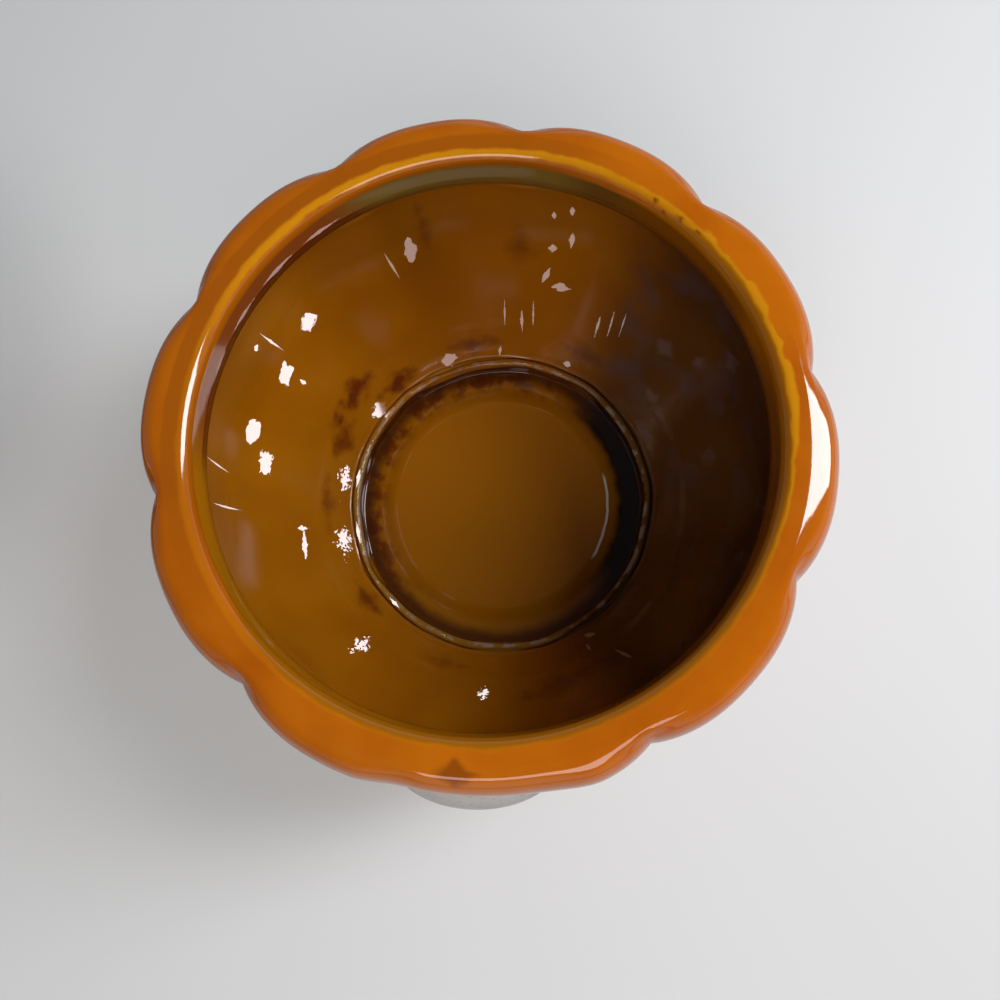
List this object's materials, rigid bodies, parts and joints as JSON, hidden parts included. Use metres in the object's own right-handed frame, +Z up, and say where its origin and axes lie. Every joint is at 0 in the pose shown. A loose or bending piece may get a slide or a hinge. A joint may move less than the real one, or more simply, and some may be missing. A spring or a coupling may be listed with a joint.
{
  "type": "ceramic canister",
  "caption": "Round lobed ceramic food canister, glazed, with a domed stem-topped lid and a rubber seal that closes in its collar; lid lies off beside it.",
  "frame": {"origin": "the middle of the jar's foot, on the table", "axes": "+Z up through the middle of the jar's mouth, -Y towards the jar's front, -X towards the lid that lies beside it"},
  "size_m": [0.3768, 0.1652, 0.099],
  "materials": {
    "jar_glaze": "glossy amber-orange glaze",
    "boss_glaze": "glossy pale grey glaze",
    "lid_glaze": "glossy amber-orange glaze",
    "stem_glaze": "satin olive-green glaze",
    "seal_rubber": "matte translucent white"
  },
  "bodies": {
    "jar": {"jar_body": "jar_glaze", "front_boss": "boss_glaze"},
    "lid": {"lid_shell": "lid_glaze", "lid_stem": "stem_glaze"},
    "seal": {"rubber_seal": "seal_rubber"}
  },
  "joints": [
    {"name": "lid_swing", "type": "hinge", "parent": "jar", "child": "lid", "pos_m": [-0.112, 0, 0.0942], "axis": [0, 1, 0], "range_deg": [0, 188]},
    {"name": "seal_pull", "type": "slide", "parent": "lid", "child": "seal", "axis": [-0.1392, 0, 0.9903], "range_m": [0, 0.025]}
  ]
}
